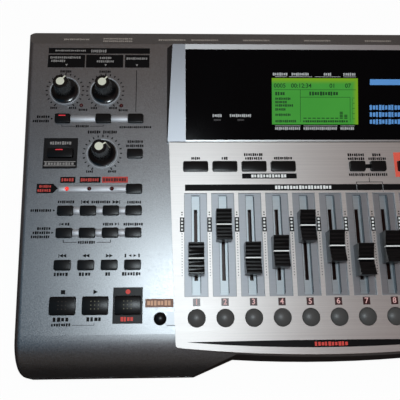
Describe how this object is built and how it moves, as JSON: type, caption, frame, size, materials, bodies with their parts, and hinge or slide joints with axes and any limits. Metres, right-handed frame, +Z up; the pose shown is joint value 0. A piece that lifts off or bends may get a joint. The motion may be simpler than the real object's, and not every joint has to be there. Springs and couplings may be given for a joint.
{
  "type": "digital multitrack recorder",
  "caption": "Desktop multitrack recorder: sloping dark deck with knobs and keys, light mixer panel with sliding faders and a raised tilted display.",
  "frame": {"origin": "middle of the base, on the table under the feet", "axes": "+X to the user's right, +Y to the rear, +Z up"},
  "size_m": [0.4448, 0.262, 0.1],
  "materials": {
    "case_paint": "dark grey metallic paint on a moulded case, satin",
    "panel_silver": "light silver metallic paint, satin",
    "bar_silver": "silver paint, satin",
    "window_black": "polished black acrylic",
    "screen_green": "backlit liquid crystal, lit green",
    "plate_black": "fine matte",
    "lamp_red": "clear red lens",
    "knob_black": "fine matte with a satin grip",
    "cap_black": "satin",
    "key_black": "soft matte",
    "track_grey": "matte silicone",
    "socket_black": "matte",
    "base_steel": "black powder coat",
    "board_green": "solder mask",
    "inner_steel": "plain plated steel",
    "disk_alloy": "cast",
    "foot_rubber": "matte",
    "screw_steel": "zinc plated"
  },
  "bodies": {
    "case": {"upper_case": "case_paint", "bottom_plate": "base_steel", "mixer_panel": "panel_silver", "display_housing": "panel_silver", "display_window": "window_black", "lcd_module": "screen_green", "panel_bars": "bar_silver", "key_plates": "plate_black", "panel_lamps": "lamp_red", "panel_boards": "board_green", "main_board": "board_green", "fader_tracks": "inner_steel", "rotary_pots": "inner_steel", "hard_disk": "disk_alloy", "rear_plate": "plate_black", "phone_jacks": "socket_black", "midi_sockets": "socket_black", "dc_inlet": "socket_black", "feet": "foot_rubber", "case_screws": "screw_steel"},
    "sens_knob_1": {"sens_knob_1": "knob_black"},
    "sens_knob_2": {"sens_knob_2": "knob_black"},
    "input_level_knob": {"input_level_knob": "knob_black"},
    "value_dial": {"value_dial": "knob_black"},
    "fader_1": {"fader_1": "cap_black"},
    "fader_2": {"fader_2": "cap_black"},
    "fader_3": {"fader_3": "cap_black"},
    "fader_4": {"fader_4": "cap_black"},
    "fader_5": {"fader_5": "cap_black"},
    "fader_6": {"fader_6": "cap_black"},
    "fader_7": {"fader_7": "cap_black"},
    "fader_8": {"fader_8": "cap_black"},
    "fader_9": {"fader_9": "cap_black"},
    "fader_10": {"fader_10": "cap_black"},
    "stop_key": {"stop_key": "key_black"},
    "play_key": {"play_key": "key_black"},
    "rec_key": {"rec_key": "key_black"},
    "track_key_1": {"track_key_1": "track_grey"},
    "track_key_2": {"track_key_2": "track_grey"},
    "track_key_3": {"track_key_3": "track_grey"},
    "track_key_4": {"track_key_4": "track_grey"},
    "track_key_5": {"track_key_5": "track_grey"},
    "track_key_6": {"track_key_6": "track_grey"},
    "track_key_7": {"track_key_7": "track_grey"},
    "track_key_8": {"track_key_8": "track_grey"},
    "track_key_9": {"track_key_9": "track_grey"},
    "track_key_10": {"track_key_10": "track_grey"},
    "take_key": {"take_key": "key_black"},
    "effects_key": {"effects_key": "key_black"},
    "tuner_key": {"tuner_key": "key_black"},
    "rec_mode_key": {"rec_mode_key": "key_black"},
    "input_select_keys": {"input_select_keys": "key_black"},
    "marker_keys": {"marker_keys": "key_black"},
    "punch_keys": {"punch_keys": "key_black"},
    "locate_keys": {"locate_keys": "key_black"},
    "mixer_fx_keys": {"mixer_fx_keys": "key_black"},
    "tool_keys": {"tool_keys": "key_black"},
    "cursor_keys": {"cursor_keys": "key_black"},
    "edit_keys": {"edit_keys": "key_black"},
    "power_switch": {"power_switch": "socket_black"}
  },
  "joints": [
    {"name": "sens_knob_1_turn", "type": "hinge", "parent": "case", "child": "sens_knob_1", "pos_m": [-0.1908, 0.07718, 0.07529], "axis": [0, -0.1392, 0.9903], "range_deg": [-110, 190]},
    {"name": "sens_knob_2_turn", "type": "hinge", "parent": "case", "child": "sens_knob_2", "pos_m": [-0.1596, 0.07688, 0.07524], "axis": [0, -0.1392, 0.9903], "range_deg": [-105, 195]},
    {"name": "input_level_knob_turn", "type": "hinge", "parent": "case", "child": "input_level_knob", "pos_m": [-0.16, 0.02588, 0.06808], "axis": [0, -0.1392, 0.9903], "range_deg": [-98, 202]},
    {"name": "value_dial_turn", "type": "hinge", "parent": "case", "child": "value_dial", "pos_m": [0.16, -0.0572, 0.0564], "axis": [0, -0.1392, 0.9903], "continuous": true},
    {"name": "fader_1_slide", "type": "slide", "parent": "case", "child": "fader_1", "axis": [0, 0.9903, 0.1392], "range_m": [-0.0107, 0.0343]},
    {"name": "fader_2_slide", "type": "slide", "parent": "case", "child": "fader_2", "axis": [0, 0.9903, 0.1392], "range_m": [-0.0348, 0.0102]},
    {"name": "fader_3_slide", "type": "slide", "parent": "case", "child": "fader_3", "axis": [0, 0.9903, 0.1392], "range_m": [-0.0108, 0.0342]},
    {"name": "fader_4_slide", "type": "slide", "parent": "case", "child": "fader_4", "axis": [0, 0.9903, 0.1392], "range_m": [-0.0154, 0.0296]},
    {"name": "fader_5_slide", "type": "slide", "parent": "case", "child": "fader_5", "axis": [0, 0.9903, 0.1392], "range_m": [-0.0338, 0.0112]},
    {"name": "fader_6_slide", "type": "slide", "parent": "case", "child": "fader_6", "axis": [0, 0.9903, 0.1392], "range_m": [-0.019, 0.026]},
    {"name": "fader_7_slide", "type": "slide", "parent": "case", "child": "fader_7", "axis": [0, 0.9903, 0.1392], "range_m": [-0.0094, 0.0356]},
    {"name": "fader_8_slide", "type": "slide", "parent": "case", "child": "fader_8", "axis": [0, 0.9903, 0.1392], "range_m": [-0.0183, 0.0267]},
    {"name": "fader_9_slide", "type": "slide", "parent": "case", "child": "fader_9", "axis": [0, 0.9903, 0.1392], "range_m": [-0.0203, 0.0247]},
    {"name": "fader_10_slide", "type": "slide", "parent": "case", "child": "fader_10", "axis": [0, 0.9903, 0.1392], "range_m": [-0.0263, 0.0187]},
    {"name": "stop_key_press", "type": "slide", "parent": "case", "child": "stop_key", "axis": [0, 0.1392, -0.9903], "range_m": [0, 0.0012], "stiffness_N_per_m": 250, "springref_m": -0.002},
    {"name": "play_key_press", "type": "slide", "parent": "case", "child": "play_key", "axis": [0, 0.1392, -0.9903], "range_m": [0, 0.0012], "stiffness_N_per_m": 250, "springref_m": -0.002},
    {"name": "rec_key_press", "type": "slide", "parent": "case", "child": "rec_key", "axis": [0, 0.1392, -0.9903], "range_m": [0, 0.0012], "stiffness_N_per_m": 250, "springref_m": -0.002},
    {"name": "track_key_1_press", "type": "slide", "parent": "case", "child": "track_key_1", "axis": [0, 0.1392, -0.9903], "range_m": [0, 0.0012], "stiffness_N_per_m": 250, "springref_m": -0.002},
    {"name": "track_key_2_press", "type": "slide", "parent": "case", "child": "track_key_2", "axis": [0, 0.1392, -0.9903], "range_m": [0, 0.0012], "stiffness_N_per_m": 250, "springref_m": -0.002},
    {"name": "track_key_3_press", "type": "slide", "parent": "case", "child": "track_key_3", "axis": [0, 0.1392, -0.9903], "range_m": [0, 0.0012], "stiffness_N_per_m": 250, "springref_m": -0.002},
    {"name": "track_key_4_press", "type": "slide", "parent": "case", "child": "track_key_4", "axis": [0, 0.1392, -0.9903], "range_m": [0, 0.0012], "stiffness_N_per_m": 250, "springref_m": -0.002},
    {"name": "track_key_5_press", "type": "slide", "parent": "case", "child": "track_key_5", "axis": [0, 0.1392, -0.9903], "range_m": [0, 0.0012], "stiffness_N_per_m": 250, "springref_m": -0.002},
    {"name": "track_key_6_press", "type": "slide", "parent": "case", "child": "track_key_6", "axis": [0, 0.1392, -0.9903], "range_m": [0, 0.0012], "stiffness_N_per_m": 250, "springref_m": -0.002},
    {"name": "track_key_7_press", "type": "slide", "parent": "case", "child": "track_key_7", "axis": [0, 0.1392, -0.9903], "range_m": [0, 0.0012], "stiffness_N_per_m": 250, "springref_m": -0.002},
    {"name": "track_key_8_press", "type": "slide", "parent": "case", "child": "track_key_8", "axis": [0, 0.1392, -0.9903], "range_m": [0, 0.0012], "stiffness_N_per_m": 250, "springref_m": -0.002},
    {"name": "track_key_9_press", "type": "slide", "parent": "case", "child": "track_key_9", "axis": [0, 0.1392, -0.9903], "range_m": [0, 0.0012], "stiffness_N_per_m": 250, "springref_m": -0.002},
    {"name": "track_key_10_press", "type": "slide", "parent": "case", "child": "track_key_10", "axis": [0, 0.1392, -0.9903], "range_m": [0, 0.0012], "stiffness_N_per_m": 250, "springref_m": -0.002},
    {"name": "take_key_press", "type": "slide", "parent": "case", "child": "take_key", "axis": [0, 0.1392, -0.9903], "range_m": [0, 0.0012], "stiffness_N_per_m": 250, "springref_m": -0.002},
    {"name": "effects_key_press", "type": "slide", "parent": "case", "child": "effects_key", "axis": [0, 0.1392, -0.9903], "range_m": [0, 0.0012], "stiffness_N_per_m": 250, "springref_m": -0.002},
    {"name": "tuner_key_press", "type": "slide", "parent": "case", "child": "tuner_key", "axis": [0, 0.1392, -0.9903], "range_m": [0, 0.0012], "stiffness_N_per_m": 250, "springref_m": -0.002},
    {"name": "rec_mode_key_press", "type": "slide", "parent": "case", "child": "rec_mode_key", "axis": [0, 0.1392, -0.9903], "range_m": [0, 0.0012], "stiffness_N_per_m": 250, "springref_m": -0.002},
    {"name": "input_select_keys_press", "type": "slide", "parent": "case", "child": "input_select_keys", "axis": [0, 0.1392, -0.9903], "range_m": [0, 0.0012], "stiffness_N_per_m": 250, "springref_m": -0.002},
    {"name": "marker_keys_press", "type": "slide", "parent": "case", "child": "marker_keys", "axis": [0, 0.1392, -0.9903], "range_m": [0, 0.0012], "stiffness_N_per_m": 250, "springref_m": -0.002},
    {"name": "punch_keys_press", "type": "slide", "parent": "case", "child": "punch_keys", "axis": [0, 0.1392, -0.9903], "range_m": [0, 0.0012], "stiffness_N_per_m": 250, "springref_m": -0.002},
    {"name": "locate_keys_press", "type": "slide", "parent": "case", "child": "locate_keys", "axis": [0, 0.1392, -0.9903], "range_m": [0, 0.0012], "stiffness_N_per_m": 250, "springref_m": -0.002},
    {"name": "mixer_fx_keys_press", "type": "slide", "parent": "case", "child": "mixer_fx_keys", "axis": [0, 0.1392, -0.9903], "range_m": [0, 0.0012], "stiffness_N_per_m": 250, "springref_m": -0.002},
    {"name": "tool_keys_press", "type": "slide", "parent": "case", "child": "tool_keys", "axis": [0, 0.1392, -0.9903], "range_m": [0, 0.0012], "stiffness_N_per_m": 250, "springref_m": -0.002},
    {"name": "cursor_keys_press", "type": "slide", "parent": "case", "child": "cursor_keys", "axis": [0, 0.1392, -0.9903], "range_m": [0, 0.0012], "stiffness_N_per_m": 250, "springref_m": -0.002},
    {"name": "edit_keys_press", "type": "slide", "parent": "case", "child": "edit_keys", "axis": [0, 0.1392, -0.9903], "range_m": [0, 0.0012], "stiffness_N_per_m": 250, "springref_m": -0.002},
    {"name": "power_switch_rock", "type": "hinge", "parent": "case", "child": "power_switch", "pos_m": [0.176, 0.1235, 0.036], "axis": [1, 0, 0], "range_deg": [-16, 0]}
  ]
}
